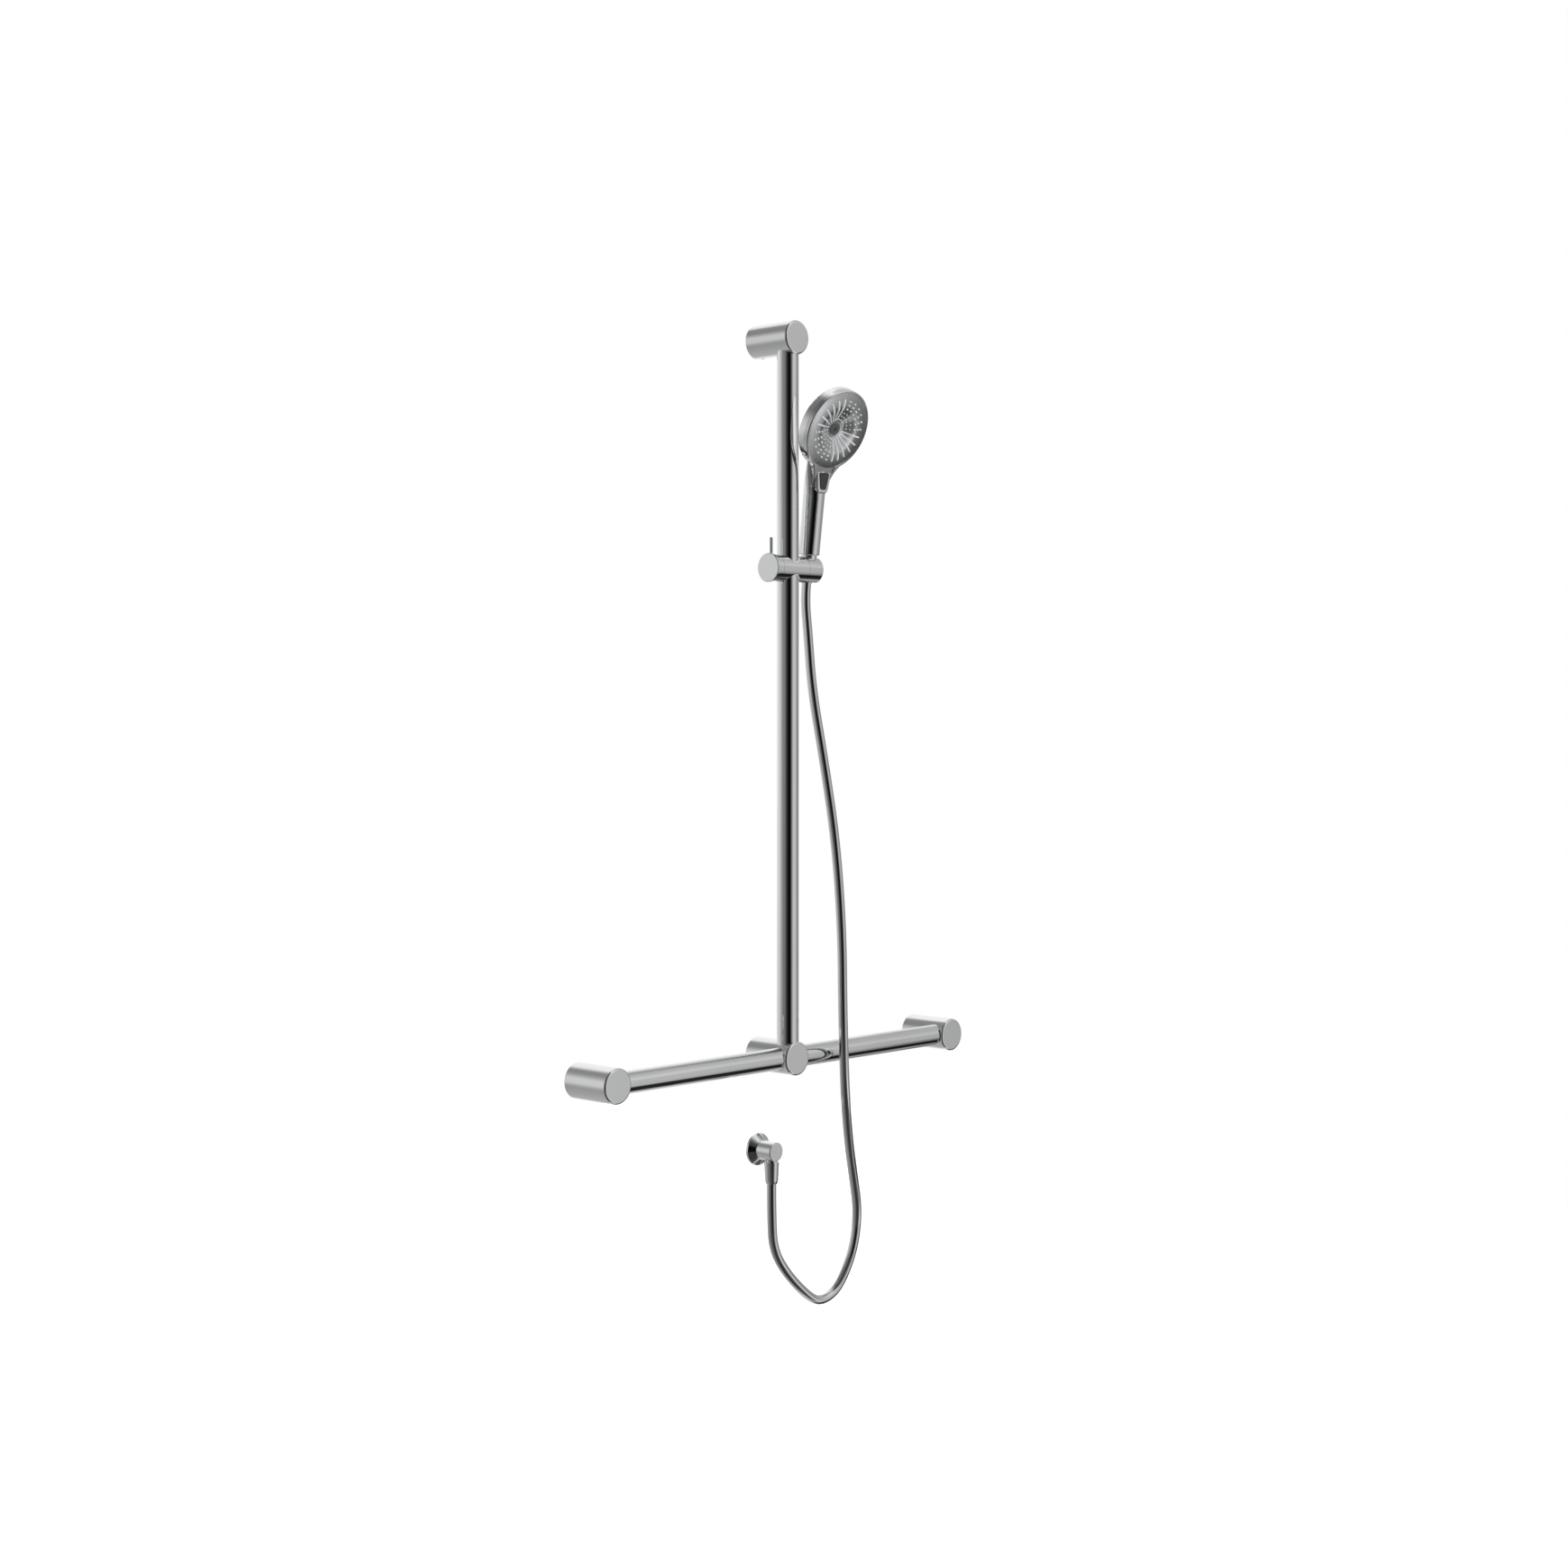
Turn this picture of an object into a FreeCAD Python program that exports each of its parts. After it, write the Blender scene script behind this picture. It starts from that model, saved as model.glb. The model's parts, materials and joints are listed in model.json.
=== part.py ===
import FreeCAD, Part
import math
import os

# Shower slide rail: an upright rail that can be set along a horizontal grab rail, a slider with a hand
# shower, and a hose to a wall outlet. Millimetres. The wall is the plane y = 0, the front is -Y, +X is to
# the right along the grab rail, +Z is up, and the origin is the centre of the middle post's wall face.

V = FreeCAD.Vector
RIGHT = V(1, 0, 0)
LEFT = V(-1, 0, 0)
FRONT = V(0, -1, 0)
BACK = V(0, 1, 0)
UP = V(0, 0, 1)
DOWN = V(0, 0, -1)

# Rails
rail_diameter = 32.0
rail_wall = 1.5
rail_axis_from_wall = 61.5
upright_height = 1040.0          # between the axes of the middle and top posts
grab_half_span = 350.0           # from the middle post's axis to an end post's axis

# Posts, hollow at the wall end over their anchors
post_diameter = 49.0
post_length = 81.0
post_wall = 4.0
post_cavity_depth = 36.0
post_edge_radius = 3.0
rail_past_axis = 14.0            # how far a rail's end runs past the axis of its post
rail_end_gap = 0.2
socket_clearance = 0.1           # on the radius, between a rail and its post

# Sleeve in the middle post, on which the upright slides along the grab rail
bush_wall = 0.8
bush_inset = 0.8                 # how far its ends lie below the post's surface
sliding_clearance = 0.1          # on the radius, between a rail and what slides on it

# Wall anchors
anchor_base = 5.0
anchor_height = 18.0
anchor_wall = 3.5
anchor_clearance = 0.1
wall_hole_diameter = 5.2
wall_hole_spacing = 22.0
wall_head_diameter = 9.6
wall_head_depth = 2.2

# Socket grub screws
grub_diameter = 5.0
grub_clearance = 0.05
grub_socket = 2.5
grub_socket_depth = 1.6
rail_screw_length = 7.5
anchor_screw_length = 3.6
anchor_screw_from_wall = 12.0
middle_screw_height = 18.0       # above the grab rail's axis
lock_screw_length = 6.8
lock_screw_gap = 0.3             # between the slackened lock screw and the grab rail

# Wall outlet
outlet_drop = 140.0              # below the grab rail's axis
rosette_diameter = 47.0
rosette_height = 10.5
rosette_rim = 3.5                # height of its upright edge
rosette_shoulder = 30.0          # diameter of its small end
rosette_wall = 1.6
seal_width = 4.0
seal_thickness = 2.5
seal_gap = 0.3                   # between the seal and the rosette's rim
elbow_diameter = 28.0
elbow_length = 39.0
elbow_edge_radius = 1.5
elbow_clearance = 0.1
inlet_diameter = 18.6
inlet_depth = 14.0
waterway_diameter = 9.0
outlet_set_back = 10.0           # from the elbow's front face to the outlet's axis
nipple_diameter = 16.6
nipple_length = 9.0

# Hose and its fittings
hose_diameter = 14.0
hose_lead = 25.0                 # straight stretch below the conical nut
stem_diameter = 12.8
stem_bore = 8.0
stem_flange = 2.0
washer_thickness = 2.0
thread_clearance = 0.1
washer_bore = 9.0
wall_nut_top_diameter = 22.0
wall_nut_end_diameter = 19.2
wall_nut_nose_diameter = 16.0
wall_nut_length = 32.0
wall_nut_nose = 4.0
wall_nut_gap = 1.0               # between the nut's top and the elbow

# Slider
slider_height = 707.0            # above the grab rail's axis
slider_diameter = 39.0
slider_half_length = 27.0
liner_wall = 1.4
liner_fit = 0.05
liner_inset = 0.8
turning_gap = 0.3                # between faces that turn on each other
turning_clearance = 0.1          # on the radius of a spigot or stud
shoe_diameter = 12.0
shoe_back = 22.2                 # distance of the shoe's back from the rail's axis
shoe_gap = 0.3

# Clamp knob and its lever
knob_collar_length = 10.2
knob_disc_diameter = 42.0
knob_disc_thickness = 4.0
knob_edge_radius = 1.2
knob_web = 3.0                   # metal left in front of the stud
stud_diameter = 8.0
lever_diameter = 5.0
lever_reach = 44.0               # from the slider's axis
lever_foot = 8.0
lever_set_back = 6.7             # from the knob's outer face to the lever's axis
press_clearance = 0.05

# Tilting holder of the hand shower
holder_length = 28.7
holder_edge_radius = 1.5
holder_centre = 42.0             # from the rail's axis to the axis of the hand shower
socket_top_diameter = 24.4
socket_end_diameter = 16.8
socket_seat = 0.1
slot_width = 15.0
spigot_diameter = 14.0
spigot_length = 3.8
spigot_web = 2.7
screw_diameter = 5.0
screw_head_diameter = 9.2
screw_head_height = 2.4
screw_end = 29.0                 # distance of the screw's end from the rail's axis
washer_outer_diameter = 26.0
friction_washer_thickness = 1.3
washer_recess = 1.2
handset_lean = 6.7               # degrees, forwards from upright

# Hand shower, along its handle from the slider's axis
handle_start = 22.0
handle_straight_end = 100.0
handle_bottom_diameter = 31.0
handle_top_diameter = 32.0
handle_edge_radius = 1.5
neck_sections = (                # height, half width, front and back, from the handle's axis
    (120.0, 17.4, 15.8, -14.8),
    (138.0, 22.0, 16.6, -10.4),
    (152.0, 27.0, 19.6, -3.8),
    (165.0, 35.0, 23.4, 1.4))
inlet_bore_diameter = 22.2
inlet_plug_length = 20.0
inlet_thread_diameter = 19.0
inlet_thread_length = 12.0
inlet_waterway = 10.0
cone_nut_end = 19.0              # from the slider's axis down to the nut's end
cone_nut_top = 21.7              # from the slider's axis up to the nut's top

# Spray head, square to its own tilted axis
head_along = 204.0               # of the face's centre, along the handle
head_forward = 36.75             # of the face's centre, in front of the handle's axis
head_tilt = 17.9                 # degrees, between the face and the handle
head_diameter = 121.9
head_rim_diameter = 120.5
head_thickness = 21.0
head_dome = 1.5
head_back_radius = 6.0
face_edge_radius = 2.0           # round the front of the head and neck
neck_arc = 50.0
neck_inset = 1.6                 # how far inside the rim its arcs start
neck_half_width = 16.5
neck_foot_half_width = 9.0
neck_reach = 99.0                # from the face's centre down to the neck's end
neck_thickness = 13.0
plate_diameter = 114.5
plate_recess = 1.0               # of its edge, behind the rim
plate_swell = 1.5                # how far its ring swells out from its edge
plate_thickness = 2.5
plate_clearance = 0.1
dish_diameter = 76.0             # at the ring's crest
dish_depth = 8.0                 # below the crest
dish_floor_diameter = 20.0
dish_points = 16                 # that the curve from the floor to the plate's edge passes through
centre_diameter = 18.0
centre_thickness = 1.3
tongue_reach = 63.4
tongue_drop = 0.3                # of its face, below the plate's edge
tongue_top_half_width = 20.0
tongue_end_half_width = 16.5

# Nozzles, in rows round the face
nozzle_rows = 24
nozzle_sector = 6                # rows in each sector of dots or bars
nozzle_diameter = 2.6
nozzle_height = 1.2
nozzle_sink = 0.8                # how deep a tip is set before the plate trims it
nozzle_radii = (33.0, 39.0, 45.0)
bar_inner_radius = 31.0
bar_outer_radius = 47.0
bar_width = 2.2
dish_nozzle_diameter = 1.8
dish_nozzle_radii = (15.0, 20.5, 26.0)
dish_bar_inner_radius = 13.0
dish_bar_outer_radius = 30.4
dish_bar_width = 1.4
dish_nozzle_height = 0.8

# Spray button
button_top_along = 142.0
button_end_along = 118.0
button_top_half_width = 10.2
button_end_half_width = 5.2
button_corner = 3.0
button_front = 17.8              # of its face, in front of the handle's axis
button_thickness = 8.6
button_gap = 0.3
bezel_width = 6.0                # of the raised rim round the button
bezel_front = 16.9               # of the rim, in front of the handle's axis
bezel_edge_radius = 2.5
button_room = 3.0                # behind the button, for its travel and spring
spring_diameter = 9.0
spring_sheet = 0.3
spring_slack = 0.1

rail_radius = rail_diameter / 2
post_radius = post_diameter / 2
cavity_radius = post_radius - post_wall
slider_radius = slider_diameter / 2
reach = 2 * post_diameter        # longer than any post or slider is wide, for cuts that run right through


def rod(start, direction, diameter, length):
    """A solid cylinder from a point along a direction."""
    return Part.makeCylinder(diameter / 2, length, start, direction)


def spun(outline, origin, direction):
    """A solid of revolution: a closed wire in the XZ plane, turned round an axis that starts at origin."""
    solid = Part.Face(outline).revolve(V(0, 0, 0), UP, 360)
    solid.Placement = FreeCAD.Placement(origin, FreeCAD.Rotation(UP, direction))
    return solid


def section(outline):
    """Points in the XZ plane from (radius, height) pairs."""
    return [V(radius, 0, height) for radius, height in outline]


def turned(outline, origin, direction):
    """A solid of revolution from the (radius, height) corners of its section."""
    points = section(outline)
    return spun(Part.makePolygon(points + points[:1]), origin, direction)


def rounded_end(solid, radius, centre, direction):
    """Round the outer edge of the flat end that passes through a point, square to a direction."""
    def on_end(edge):
        box = edge.BoundBox
        spans = V(box.XLength, box.YLength, box.ZLength)
        flat = abs(spans.dot(direction)) < 1e-6
        return flat and abs((box.Center - centre).dot(direction)) < 1e-6
    edges = [edge for edge in solid.Edges if on_end(edge)]
    return solid.makeFillet(radius, edges)


def prism(corners, corner_radius, depth):
    """A plate with rounded corners: corners in a plane, pushed along the depth vector."""
    face = Part.Face(Part.makePolygon(corners + corners[:1]))
    solid = face.extrude(depth)
    along = FreeCAD.Vector(depth).normalize()
    sides = [edge for edge in solid.Edges if abs(edge.tangentAt(edge.FirstParameter).dot(along)) > 0.999]
    return solid.makeFillet(corner_radius, sides)


def ring(start, direction, inner_diameter, outer_diameter, length):
    """A plain tube or washer from a point along a direction."""
    return rod(start, direction, outer_diameter, length).cut(rod(start, direction, inner_diameter, length))


def fused(*solids):
    """One clean solid made of several that overlap."""
    return solids[0].multiFuse(list(solids[1:])).removeSplitter()


def grub_screw(start, direction, length):
    """A socket grub screw: its tip is ahead along the direction, its hexagon socket at the start."""
    hexagon = []
    for corner in range(6):
        angle = math.radians(60 * corner)
        across = grub_socket / math.sqrt(3)
        hexagon.append(V(across * math.cos(angle), across * math.sin(angle), 0))
    socket = Part.Face(Part.makePolygon(hexagon + hexagon[:1])).extrude(UP * grub_socket_depth)
    screw = Part.makeCylinder(grub_diameter / 2, length).cut(socket)
    screw.Placement = FreeCAD.Placement(start, FreeCAD.Rotation(UP, direction))
    return screw


def grub_hole(start, direction, length):
    """The hole that a grub screw turns in."""
    return rod(start, direction, grub_diameter + 2 * grub_clearance, length)


# Posts, anchors and their screws

def rail_axis_at(foot):
    """The point on a post's axis where its rail crosses, from the centre of the post's wall face."""
    return foot + FRONT * rail_axis_from_wall


def plain_post(foot):
    """A turned post with a rounded front edge, hollow from the wall, and its anchor screw's hole."""
    post = rod(foot, FRONT, post_diameter, post_length)
    post = rounded_end(post, post_edge_radius, foot + FRONT * post_length, FRONT)
    post = post.cut(rod(foot, FRONT, 2 * cavity_radius, post_cavity_depth))
    return post.cut(grub_hole(foot + FRONT * anchor_screw_from_wall, DOWN, post_radius))


def rail_screw_start(foot, height):
    """Where a rail screw's socket lies in the post's cavity, so that its tip meets the back of the rail."""
    back_of_rail = rail_axis_from_wall - rail_radius - grub_clearance
    return foot + UP * height + FRONT * (back_of_rail - rail_screw_length)


def end_post(foot, rail_direction):
    """A post with a blind socket for the end of a rail that leaves along rail_direction."""
    bottom = rail_axis_at(foot) - rail_direction * rail_past_axis
    socket = rod(bottom, rail_direction, rail_diameter + 2 * socket_clearance, reach)
    screw_hole = grub_hole(foot, FRONT, rail_axis_from_wall)
    return plain_post(foot).cut(socket).cut(screw_hole)


def middle_post():
    """The post that the grab rail runs through in its bush and that the upright rail stands in."""
    centre = rail_axis_at(V(0, 0, 0))
    tunnel = rod(centre + LEFT * reach / 2, RIGHT, bush_bore_diameter(), reach)
    upright = rod(centre, UP, rail_diameter + 2 * socket_clearance, reach)
    screw_hole = grub_hole(UP * middle_screw_height, FRONT, rail_axis_from_wall)
    lock_hole = grub_hole(centre, DOWN, reach)
    return plain_post(V(0, 0, 0)).cut(tunnel).cut(upright).cut(screw_hole).cut(lock_hole)


def bush_outer_diameter():
    """The bush's outside, from the rail that slides in it."""
    return rail_diameter + 2 * sliding_clearance + 2 * bush_wall


def bush_bore_diameter():
    """The middle post's tunnel, in which the bush sits."""
    return bush_outer_diameter() + 2 * socket_clearance


def rail_bush():
    """A thin plastic sleeve with ends trimmed to the post, and a hole for the lock screw."""
    centre = rail_axis_at(V(0, 0, 0))
    bore = rail_diameter + 2 * sliding_clearance
    sleeve = ring(centre + LEFT * reach / 2, RIGHT, bore, bush_outer_diameter(), reach)
    trim = rod(V(0, 0, 0), FRONT, post_diameter - 2 * bush_inset, post_length)
    return sleeve.common(trim).cut(grub_hole(centre, DOWN, reach))


def wall_anchor(foot):
    """A cup that is screwed to the wall, inside the post: a base with two countersunk holes and a collar."""
    outer = cavity_radius - anchor_clearance
    inner = outer - anchor_wall
    collar = [(outer, anchor_height), (inner, anchor_height), (inner, anchor_base)]
    anchor = turned([(0, 0), (outer, 0)] + collar + [(0, anchor_base)], foot, FRONT)
    hole_radius = wall_hole_diameter / 2
    head_radius = wall_head_diameter / 2
    for side in (LEFT, RIGHT):
        at = foot + side * wall_hole_spacing / 2
        sink_start = at + FRONT * (anchor_base - wall_head_depth)
        anchor = anchor.cut(rod(at, FRONT, wall_hole_diameter, anchor_base))
        anchor = anchor.cut(Part.makeCone(hole_radius, head_radius, wall_head_depth, sink_start, FRONT))
    return anchor


def anchor_screw(foot):
    """The grub screw in the underside of a post that bears on the anchor's collar."""
    tip = cavity_radius - anchor_clearance + grub_clearance
    start = foot + FRONT * anchor_screw_from_wall + DOWN * (tip + anchor_screw_length)
    return grub_screw(start, UP, anchor_screw_length)


# Rails

def horizontal_rail():
    """The grab rail's tube, from the bottom of one end post's socket to the other's."""
    half = grab_half_span + rail_past_axis - rail_end_gap
    start = rail_axis_at(LEFT * half)
    tube = rod(start, RIGHT, rail_diameter, 2 * half)
    return tube.cut(rod(start, RIGHT, rail_diameter - 2 * rail_wall, 2 * half))


def vertical_rail():
    """The upright tube, coped at its foot to sit round the bush, up to the top post's socket."""
    start = rail_axis_at(V(0, 0, 0))
    length = upright_height + rail_past_axis - rail_end_gap
    tube = rod(start, UP, rail_diameter, length)
    tube = tube.cut(rod(start, UP, rail_diameter - 2 * rail_wall, length))
    cope = rod(start + LEFT * reach / 2, RIGHT, bush_bore_diameter(), reach)
    return tube.cut(cope)


# Wall outlet

outlet_foot = DOWN * outlet_drop
outlet_top = outlet_foot + FRONT * (elbow_length - outlet_set_back)
elbow_radius = elbow_diameter / 2
nipple_end = elbow_radius + nipple_length


def outlet_rosette():
    """A thin conical cover plate on the wall, round the elbow, with an upright edge."""
    rim = rosette_diameter / 2
    shoulder = rosette_shoulder / 2
    hole = elbow_radius + elbow_clearance
    inner = rim - rosette_wall
    slope = (rosette_height - rosette_rim) / (rim - shoulder)
    drop = rosette_wall * math.hypot(1, slope)

    def inner_height(radius):
        return rosette_rim + slope * (rim - radius) - drop
    outside = [(rim, 0), (rim, rosette_rim), (shoulder, rosette_height), (hole, rosette_height)]
    inside = [(hole, inner_height(hole)), (inner, inner_height(inner)), (inner, 0)]
    return turned(outside + inside, outlet_foot, FRONT)


def outlet_seal():
    """A soft ring behind the rosette's rim, against the wall."""
    outer = rosette_diameter / 2 - rosette_wall - seal_gap
    return ring(outlet_foot, FRONT, 2 * (outer - seal_width), 2 * outer, seal_thickness)


def outlet_elbow():
    """A turned elbow: threaded inlet at the wall, closed front, and a threaded nipple that points down."""
    body = rod(outlet_foot, FRONT, elbow_diameter, elbow_length)
    body = rounded_end(body, elbow_edge_radius, outlet_foot + FRONT * elbow_length, FRONT)
    body = fused(body, rod(outlet_top, DOWN, nipple_diameter, nipple_end))
    body = body.cut(rod(outlet_foot, FRONT, inlet_diameter, inlet_depth))
    body = body.cut(rod(outlet_foot, FRONT, waterway_diameter, elbow_length - outlet_set_back))
    return body.cut(rod(outlet_top, DOWN, waterway_diameter, nipple_end))


# Hose fittings, each along the line from its thread to the hose

def hose_washer(face, direction, diameter):
    """A flat rubber washer on the end of a thread."""
    return ring(face, direction, washer_bore, diameter, washer_thickness)


def hose_stem(face, direction, flange_diameter, length):
    """A flanged tube under the washer: the nut turns on it, and the hose is crimped to its end."""
    flange = flange_diameter / 2
    tube = stem_diameter / 2
    bore = stem_bore / 2
    shoulder = [(flange, 0), (flange, stem_flange), (tube, stem_flange)]
    return turned([(bore, 0)] + shoulder + [(tube, length), (bore, length)], face, direction)


def wall_nut():
    """A tapering nut on the elbow's nipple, with a shoulder that draws up the stem."""
    thread = nipple_diameter / 2 + thread_clearance
    shoulder = nipple_length - wall_nut_gap + washer_thickness + stem_flange + thread_clearance
    throat = stem_diameter / 2 + thread_clearance
    straight = wall_nut_length - wall_nut_nose
    outside = [
        (wall_nut_top_diameter / 2, 0), (wall_nut_end_diameter / 2, straight),
        (wall_nut_nose_diameter / 2, wall_nut_length)]
    inside = [(throat, wall_nut_length), (throat, shoulder), (thread, shoulder), (thread, 0)]
    return turned(outside + inside, outlet_top + DOWN * (elbow_radius + wall_nut_gap), DOWN)


def wall_stem():
    """The hose's lower stem, between the washer and the hose's end."""
    face = nipple_end + washer_thickness
    length = elbow_radius + wall_nut_gap + wall_nut_length - face
    return hose_stem(outlet_top + DOWN * face, DOWN, nipple_diameter, length)


# Slider, with the slider's axis along X through the rail's axis

slider_centre = rail_axis_at(UP * slider_height)
liner_outer_radius = rail_radius + sliding_clearance + liner_wall
rail_tunnel_radius = liner_outer_radius + liner_fit
screw_pocket_end = slider_half_length - spigot_length - spigot_web


def slider_body():
    """A short bar across the rail: a tunnel for the rail, a bore for the clamp and a pivot for the holder."""
    centre = slider_centre
    right_face = centre + RIGHT * slider_half_length
    body = rod(centre + LEFT * slider_half_length, RIGHT, slider_diameter, 2 * slider_half_length)
    body = body.cut(rod(centre + DOWN * reach / 2, UP, 2 * rail_tunnel_radius, reach))
    body = body.cut(rod(centre, LEFT, stud_diameter + 2 * turning_clearance, reach))
    body = body.cut(rod(centre, LEFT, shoe_diameter + 2 * turning_clearance, shoe_back + shoe_gap))
    body = body.cut(rod(right_face, LEFT, spigot_diameter + 2 * turning_clearance, spigot_length))
    body = body.cut(rod(right_face, LEFT, washer_outer_diameter + 2 * turning_clearance, washer_recess))
    body = body.cut(rod(centre, RIGHT, screw_diameter + 2 * turning_gap, slider_half_length))
    return body.cut(rod(centre, RIGHT, screw_head_diameter + 2 * turning_gap, screw_pocket_end))


def rail_liner():
    """A plastic sleeve in the slider's tunnel, trimmed to the slider, with a window for the brake shoe."""
    centre = slider_centre
    bore = rail_diameter + 2 * sliding_clearance
    sleeve = ring(centre + DOWN * reach / 2, UP, bore, 2 * liner_outer_radius, reach)
    trim = rod(centre + LEFT * reach / 2, RIGHT, slider_diameter - 2 * liner_inset, reach)
    window = rod(centre, LEFT, shoe_diameter + 2 * turning_clearance, slider_half_length)
    return sleeve.common(trim).cut(window)


def brake_shoe():
    """A plug that the clamp stud presses on the rail, hollowed to the rail's curve."""
    shoe = rod(slider_centre + LEFT * shoe_back, RIGHT, shoe_diameter, shoe_back)
    return shoe.cut(rod(slider_centre + DOWN * reach / 2, UP, rail_diameter + 2 * shoe_gap, reach))


def friction_washer():
    """A ring in the slider's right face that the holder turns against."""
    start = slider_centre + RIGHT * (slider_half_length - washer_recess)
    inner = spigot_diameter + 4 * turning_clearance
    return ring(start, RIGHT, inner, washer_outer_diameter, friction_washer_thickness)


knob_inner_face = slider_half_length + turning_gap
knob_outer_face = knob_inner_face + knob_collar_length + knob_disc_thickness
stud_start = knob_outer_face - knob_web
lever_along = knob_outer_face - lever_set_back


def clamp_knob():
    """A turned collar as wide as the slider, with a wider disc for the fingers."""
    collar = rod(slider_centre + LEFT * knob_inner_face, LEFT, slider_diameter, knob_collar_length)
    disc_start = slider_centre + LEFT * (knob_inner_face + knob_collar_length)
    disc = rod(disc_start, LEFT, knob_disc_diameter, knob_disc_thickness)
    disc = rounded_end(disc, knob_edge_radius, slider_centre + LEFT * knob_outer_face, LEFT)
    knob = fused(collar, disc)
    stud_hole = rod(slider_centre, LEFT, stud_diameter + 2 * press_clearance, stud_start + press_clearance)
    lever_at = slider_centre + LEFT * lever_along + UP * (lever_foot - press_clearance)
    lever_hole = rod(lever_at, UP, lever_diameter + 2 * press_clearance, slider_radius)
    return knob.cut(stud_hole).cut(lever_hole)


def knob_lever():
    """A round pin pressed into the collar, with a rounded tip."""
    foot = slider_centre + LEFT * lever_along + UP * lever_foot
    length = lever_reach - lever_foot
    pin = rod(foot, UP, lever_diameter, length)
    return rounded_end(pin, lever_diameter / 3, foot + UP * length, UP)


def clamp_stud():
    """The clamp's screw, fixed in the knob and turning in the slider, up to the brake shoe."""
    end = shoe_back + shoe_gap / 2
    return rod(slider_centre + LEFT * stud_start, RIGHT, stud_diameter, stud_start - end)


# Holder and hand shower, built upright with the handle along +Z and then leaned about the slider's axis

def leaned(shape):
    """Turn a shape that was built upright at the origin to its place in the holder."""
    turned_shape = shape.copy()
    turned_shape.rotate(V(0, 0, 0), RIGHT, handset_lean)
    turned_shape.translate(slider_centre + RIGHT * holder_centre)
    return turned_shape


def socket_radius(height):
    """The radius of the holder's conical socket at a height above the slider's axis."""
    share = (height + slider_radius) / slider_diameter
    return (socket_end_diameter + (socket_top_diameter - socket_end_diameter) * share) / 2


def handset_holder():
    """The tilting end of the slider: a conical socket with a slot for the hose, and a spigot to turn on."""
    start = LEFT * (holder_centre - slider_half_length - turning_gap)
    body = rod(start, RIGHT, slider_diameter, holder_length)
    body = rounded_end(body, holder_edge_radius, start + RIGHT * holder_length, RIGHT)
    body = fused(body, rod(start + RIGHT * turning_gap, LEFT, spigot_diameter, spigot_length))
    low = -slider_radius - holder_edge_radius
    high = slider_radius + holder_edge_radius
    socket = Part.makeCone(socket_radius(low), socket_radius(high), high - low, UP * low)
    slot = Part.makeBox(holder_length, slot_width, reach, V(0, -slot_width / 2, -reach / 2))
    screw_hole_length = screw_end - slider_half_length + spigot_length + 2 * press_clearance
    screw_hole = rod(LEFT * (holder_centre - screw_end - press_clearance), LEFT,
                     screw_diameter + 2 * press_clearance, screw_hole_length)
    return leaned(body.cut(socket).cut(slot).cut(screw_hole))


def holder_screw():
    """The screw from the rail's tunnel into the holder's spigot that keeps the holder on the slider."""
    head_start = screw_pocket_end - turning_gap - screw_head_height
    head = rod(RIGHT * head_start, RIGHT, screw_head_diameter, screw_head_height)
    shank = rod(RIGHT * head_start, RIGHT, screw_diameter, screw_end - head_start)
    screw = fused(head, shank)
    screw.translate(LEFT * holder_centre)
    return leaned(screw)


thread_end = handle_start - inlet_thread_length
washer_end = thread_end - washer_thickness


def handset_inlet():
    """The threaded end of the handle: a plug in the handle's bore and a thread for the hose's nut."""
    plug = inlet_bore_diameter / 2 - press_clearance
    thread = inlet_thread_diameter / 2
    water = inlet_waterway / 2
    top = handle_start + inlet_plug_length
    outside = [(thread, thread_end), (thread, handle_start), (plug, handle_start), (plug, top)]
    return leaned(turned([(water, thread_end)] + outside + [(water, top)], V(0, 0, 0), UP))


def handset_washer():
    """The rubber washer under the handle's thread."""
    return leaned(hose_washer(UP * thread_end, DOWN, inlet_thread_diameter))


def handset_stem():
    """The hose's upper stem, inside the conical nut."""
    return leaned(hose_stem(UP * washer_end, DOWN, inlet_thread_diameter, washer_end + cone_nut_end))


def handset_nut():
    """The conical nut of the hose, which hangs in the holder's socket."""
    thread = inlet_thread_diameter / 2 + thread_clearance
    throat = stem_diameter / 2 + thread_clearance
    shoulder = washer_end - stem_flange - thread_clearance
    top = socket_radius(cone_nut_top) - socket_seat
    end = socket_radius(-cone_nut_end) - socket_seat
    outline = [(throat, -cone_nut_end), (end, -cone_nut_end), (top, cone_nut_top), (thread, cone_nut_top),
               (thread, shoulder), (throat, shoulder)]
    return leaned(turned(outline, V(0, 0, 0), UP))


tilt = math.radians(head_tilt)
face_centre = V(0, -head_forward, head_along)
face_up = V(0, -math.sin(tilt), math.cos(tilt))
face_back = V(0, math.cos(tilt), math.sin(tilt))
plate_radius = plate_diameter / 2


def on_face(across, along, depth=0.0):
    """A point by its place on the spray face: across to the right, along upwards, depth behind the rim."""
    return face_centre + RIGHT * across + face_up * along + face_back * depth


def head_disc():
    """The spray head's round body: a rim, a slightly swelling side, a rounded back edge and a low dome."""
    rim = head_rim_diameter / 2
    side = head_diameter / 2
    corner = head_back_radius
    wall_end = head_thickness - corner
    flat = side - corner
    edge = face_edge_radius
    quarter = [math.pi / 2 * step / 5 for step in range(6)]
    outline = [(0, 0)]
    outline += [(rim - edge + edge * math.sin(turn), edge - edge * math.cos(turn)) for turn in quarter]
    outline.append((side, wall_end / 2))
    outline += [(flat + corner * math.cos(turn), wall_end + corner * math.sin(turn)) for turn in quarter]
    outline.append((0, head_thickness + head_dome))
    return turned(outline, face_centre, face_back)


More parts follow.
